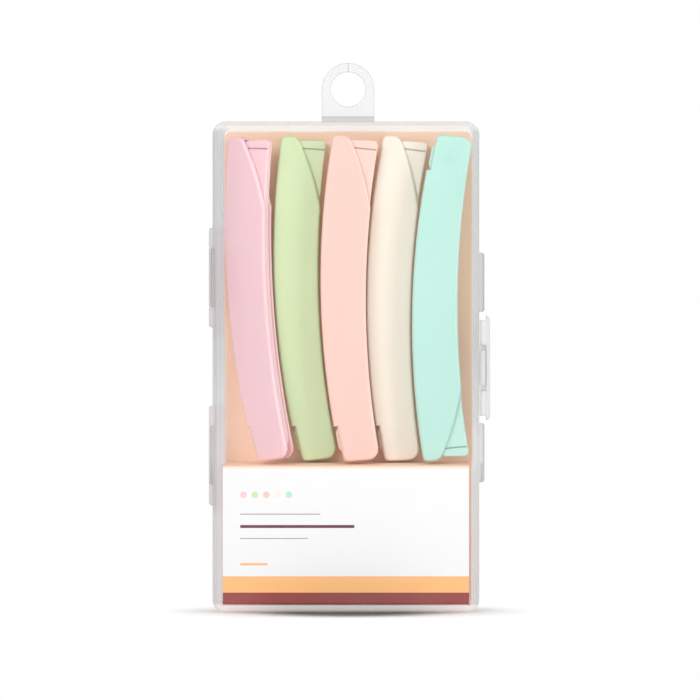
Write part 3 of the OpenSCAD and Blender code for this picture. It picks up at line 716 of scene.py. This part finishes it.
def fold_line():
    """The card seen from its side, as points of depth and height at the middle of the board."""
    middle = CARD_T / 2
    back_y, front_y = CARD_HIGH.y - middle, CARD_LOW.y + middle
    return [
        (back_y, CARD_TOP_Z),
        (back_y, CARD_LOW.z + middle),
        (front_y, CARD_LOW.z + middle),
        (front_y, SHELF_FRONT_Z - middle),
        (back_y - CARD_T, SHELF_BACK_Z - middle),
        (back_y - CARD_T, SHELF_BACK_Z - GLUED_TAB),
    ]


def card_sheet(bm):
    line = [bm.verts.new((CARD_LOW.x, y, z)) for y, z in fold_line()]
    for start, end in zip(line, line[1:]):
        bm.edges.new((start, end))
    bmesh.ops.bevel(bm, geom=line[1:-1], offset=FOLD_R, segments=4, profile=0.5,
                    affect="VERTICES", material=-1)
    pulled = bmesh.ops.extrude_edge_only(bm, edges=bm.edges[:])
    moved = [v for v in pulled["geom"] if isinstance(v, bmesh.types.BMVert)]
    bmesh.ops.translate(bm, verts=moved, vec=(CARD_HIGH.x - CARD_LOW.x, 0, 0))
    on_backing = [v for v in moved if v.co.y > CARD_HIGH.y - CARD_T]
    bmesh.ops.translate(bm, verts=on_backing, vec=(BACK_EXTRA_W, 0, 0))
    corners = [v for v in bm.verts if v.co.z > CARD_TOP_Z - CARD_T]
    bmesh.ops.bevel(bm, geom=corners, offset=CARD_CORNER_R, segments=8, profile=0.5,
                    affect="VERTICES", material=-1)
    bmesh.ops.recalc_face_normals(bm, faces=bm.faces[:])


def folded_card():
    bm = bmesh.new()
    card_sheet(bm)
    mesh = bpy.data.meshes.new("folded_card")
    bm.to_mesh(mesh)
    bm.free()
    piece = bpy.data.objects.new("folded_card", mesh)
    bpy.context.scene.collection.objects.link(piece)
    board = piece.modifiers.new("board", "SOLIDIFY")
    board.thickness = CARD_T
    board.offset = 0
    board.use_even_offset = True
    return piece


card = folded_card()
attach(card, "case")
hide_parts("card_insert")
print("card faces:", len(card.data.polygons))

# %% [markdown]
# The print is colour only, so it lives in the material. The front panel is white over an orange and
# a maroon band, as steps over height. The white carries generic marks only: a row of five dots in
# the colours of the razors and a few plain rules, each a mask of two steps, or a circle.

# %% What the panel shows, in millimetres
ORANGE_TOP_Z = 11.0
MAROON_TOP_Z = 6.1
PANEL_WHITE = (0.90, 0.895, 0.90)
PANEL_ORANGE = (0.99, 0.52, 0.21)
PANEL_MAROON = (0.315, 0.064, 0.058)
DOT_R = 1.0
DOT_Z = 35.4
DOT_FIRST_X = -31.6
DOT_STEP = 3.4
RULES = [
    # left end, right end, height of the middle, thickness, colour
    (-32.6, -8.6, 29.6, 0.35, (0.47, 0.36, 0.38)),
    (-32.6, 1.6, 25.9, 0.9, (0.16, 0.045, 0.075)),
    (-32.6, -12.4, 22.3, 0.3, (0.47, 0.36, 0.38)),
    (-32.6, -24.4, 14.6, 0.7, (0.97, 0.52, 0.24)),
]


def panel_print(tree, x_mm, z_mm):
    above_maroon = maths(tree, "GREATER_THAN", z_mm, MAROON_TOP_Z)
    above_orange = maths(tree, "GREATER_THAN", z_mm, ORANGE_TOP_Z)
    bands = mix_colours(tree, above_maroon, PANEL_MAROON, PANEL_ORANGE)
    colour = mix_colours(tree, above_orange, bands, PANEL_WHITE)
    for count, dot_colour in enumerate(RAZOR_COLOURS.values()):
        from_x = maths(tree, "SUBTRACT", x_mm, DOT_FIRST_X + count * DOT_STEP)
        from_z = maths(tree, "SUBTRACT", z_mm, DOT_Z)
        squares = maths(tree, "ADD", times(tree, from_x, from_x), times(tree, from_z, from_z))
        in_dot = maths(tree, "LESS_THAN", squares, DOT_R ** 2)
        colour = mix_colours(tree, in_dot, colour, dot_colour)
    for left, right, middle, thick, rule_colour in RULES:
        on_rule = times(tree, in_step(tree, x_mm, left, right),
                        in_step(tree, z_mm, middle - thick / 2, middle + thick / 2))
        colour = mix_colours(tree, on_rule, colour, rule_colour)
    return colour


print("bands: 2, dots:", len(RAZOR_COLOURS), "rules:", len(RULES))

# %% [markdown]
# Peach covers the backing and the shelf, and the unprinted back is grey board. The fold above the
# panel is paler. The backing's top edge is paler too: the cut edge shows bare board, and the band
# just below it is a painted highlight. The backing lets some light through, as subsurface
# scattering.

# %% Printed card
PEACH, PEACH_CLOUD = (1.0, 0.68, 0.53), (1.0, 0.65, 0.50)
BARE_BOARD, BOARD_FLECK = (0.80, 0.79, 0.76), (0.74, 0.73, 0.70)
PALE_FOLD = (0.97, 0.76, 0.60)
PALE_FOLD_BELOW_MM, PALE_FOLD_ABOVE_MM = 0.75, 0.1
BARE_EDGE_AND_HIGHLIGHT, TOP_HIGHLIGHT_SHARE = (0.98, 0.90, 0.82), 0.75
TOP_HIGHLIGHT_FROM_TO_MM = (CARD_TOP_Z / MM - 0.75, CARD_TOP_Z / MM - 0.2)
PANEL_DEPTH_MM = 0.3
BACK_DEPTH_MM = 0.1
LIT_THROUGH = 0.3
BOARD_REACH = (1.0, 0.6, 0.45)


def card_print():
    material, tree, output = new_material("card_print")
    place = coordinates(tree)
    x_mm, y_mm, z_mm = split(tree, coordinates(tree, scale=(1 / MM, 1 / MM, 1 / MM)))
    in_front = maths(tree, "LESS_THAN", y_mm, CARD_LOW.y / MM + PANEL_DEPTH_MM)
    behind = maths(tree, "GREATER_THAN", y_mm, CARD_HIGH.y / MM - BACK_DEPTH_MM)
    fold_mm = SHELF_FRONT_Z / MM
    on_pale_fold = in_step(tree, z_mm, fold_mm - PALE_FOLD_BELOW_MM, fold_mm + PALE_FOLD_ABOVE_MM)
    panel = mix_colours(tree, on_pale_fold, panel_print(tree, x_mm, z_mm), PALE_FOLD)
    peach = mix_colours(tree, noise(tree, place, scale=25, detail=2), PEACH, PEACH_CLOUD)
    printed = mix_colours(tree, in_front, peach, panel)
    # Painted highlight just under the backing's top edge, with paler bare board at the cut edge
    # itself.
    edge_and_highlight = times(tree, between(tree, z_mm, *TOP_HIGHLIGHT_FROM_TO_MM), TOP_HIGHLIGHT_SHARE)
    topped = mix_colours(tree, edge_and_highlight, printed, BARE_EDGE_AND_HIGHLIGHT)
    board = mix_colours(tree, noise(tree, place, scale=400, detail=4), BARE_BOARD, BOARD_FLECK)
    colour = mix_colours(tree, behind, topped, board)
    on_backing = maths(tree, "SUBTRACT", 1.0, maths(tree, "MAXIMUM", in_front, behind))
    body = shader(tree, colour, roughness=0.55, Specular_IOR_Level=0.2,
                  Subsurface_Weight=times(tree, on_backing, LIT_THROUGH), Subsurface_Scale=0.002)
    body.inputs["Subsurface Radius"].default_value = BOARD_REACH
    bump(tree, noise(tree, place, scale=1200, detail=5, roughness=0.65), strength=0.06,
         distance_mm=0.2, to=body)
    finish_with(tree, output, body)
    return material


card.data.materials.append(card_print())
print("card printed")

# %% [markdown]
# A product photo stands on a white table that runs into white light. The floor is a big plain plane
# that shows its shadow near the case and turns to plain white light further out, which Light Path
# allows: only rays from the camera, or seen through plastic or in a reflection, meet that white. The
# clear case lets more light onto the table than the real one did, so a painted shadow darkens the
# floor under it.

# %% The table's surface
SHADOW_HALF_W_MM, SHADOW_HALF_D_MM = 60, 38
SHADOW_FADE = (0.55, 1.0)
PAINTED_SHADOW_HALF_W_MM, PAINTED_SHADOW_HALF_D_MM = 36, 32
PAINTED_SHADOW_FADE = (0.45, 1.1)
PAINTED_SHADOW_GREY = (0.14, 0.14, 0.14)
TABLE_WHITE = (0.94, 0.94, 0.94)


def seen_ray(tree):
    path = node(tree, "LightPath")
    seen = maths(tree, "MAXIMUM", path.outputs["Is Camera Ray"], path.outputs["Is Glossy Ray"])
    return maths(tree, "MAXIMUM", seen, path.outputs["Is Transmission Ray"])


def from_case(tree, half_w_mm, half_d_mm, fade):
    """0 at the case, 1 outside an ellipse on the table."""
    squeezed = coordinates(tree, scale=(1 / (half_w_mm * MM), 1 / (half_d_mm * MM), 0))
    return between(tree, vector_maths(tree, "LENGTH", squeezed), *fade, slope="SMOOTHSTEP")


def floor_material():
    material, tree, output = new_material("floor_white")
    # Painted shadow: the floor is painted darker in an ellipse round the case.
    painted_shadow = from_case(tree, PAINTED_SHADOW_HALF_W_MM, PAINTED_SHADOW_HALF_D_MM, PAINTED_SHADOW_FADE)
    far_out = from_case(tree, SHADOW_HALF_W_MM, SHADOW_HALF_D_MM, SHADOW_FADE)
    body = shader(tree, mix_colours(tree, painted_shadow, PAINTED_SHADOW_GREY, TABLE_WHITE), roughness=0.6,
                  Specular_IOR_Level=0.1)
    white = node(tree, "Emission")
    white.inputs["Strength"].default_value = 1.0
    mix = node(tree, "MixShader")
    tree.links.new(times(tree, far_out, seen_ray(tree)), mix.inputs["Fac"])
    tree.links.new(body.outputs[0], mix.inputs[1])
    tree.links.new(white.outputs[0], mix.inputs[2])
    finish_with(tree, output, mix)
    return material


print("shadow shows within", SHADOW_HALF_W_MM, "by", SHADOW_HALF_D_MM, "mm of the middle")

# %% [markdown]
# The table itself is a single square, made with the grid operator.

# %% Floor and backdrop
FLOOR_HALF = 3.0

floor_bm = bmesh.new()
bmesh.ops.create_grid(floor_bm, x_segments=1, y_segments=1, size=FLOOR_HALF)
floor_mesh = bpy.data.meshes.new("floor")
floor_bm.to_mesh(floor_mesh)
floor_bm.free()
floor = bpy.data.objects.new("floor", floor_mesh)
bpy.context.scene.collection.objects.link(floor)
floor_mesh.materials.append(floor_material())
print("floor ready")

# %% [markdown]
# The world is white where it is seen and a soft grey fill where it lights, which keeps the shadows
# open without any lamp on the background.

# %% World
FILL_STRENGTH = 0.54
SEEN_STRENGTH = 1.0

world = bpy.data.worlds.new("studio")
bpy.context.scene.world = world
world.use_nodes = True
sky = world.node_tree
sky.nodes.clear()
sky_out = sky.nodes.new("ShaderNodeOutputWorld")
sky_mix = node(sky, "MixShader")
sky.links.new(seen_ray(sky), sky_mix.inputs["Fac"])
for place, strength in ((1, FILL_STRENGTH), (2, SEEN_STRENGTH)):
    background = node(sky, "Background")
    background.inputs["Color"].default_value = (1, 1, 1, 1)
    background.inputs["Strength"].default_value = strength
    sky.links.new(background.outputs[0], sky_mix.inputs[place])
sky.links.new(sky_mix.outputs[0], sky_out.inputs["Surface"])
print("fill:", FILL_STRENGTH, "seen:", SEEN_STRENGTH)

# %% [markdown]
# One large soft light from the upper left front and a weaker one from the right give the long gentle
# gradients of the photo. Together they light a white card that faces the camera to just under white,
# so that no colour clips. Both point at the middle of the case.

# %% Lights
LIGHT_AIM_MM = (0, 0, 74)


def soft_light(name, place_mm, size_mm, power):
    data = bpy.data.lights.new(name, "AREA")
    data.shape = "RECTANGLE"
    data.size, data.size_y = (s * MM for s in size_mm)
    data.energy = power
    lamp = bpy.data.objects.new(name, data)
    lamp.location = [p * MM for p in place_mm]
    way = Vector(LIGHT_AIM_MM) - Vector(place_mm)
    lamp.rotation_euler = way.to_track_quat("-Z", "Y").to_euler()
    bpy.context.scene.collection.objects.link(lamp)


soft_light("key_light", place_mm=(-290, -540, 380), size_mm=(300, 300), power=1.7)
soft_light("side_light", place_mm=(480, -300, 250), size_mm=(200, 420), power=1.3)
bpy.context.scene.view_settings.view_transform = "Standard"
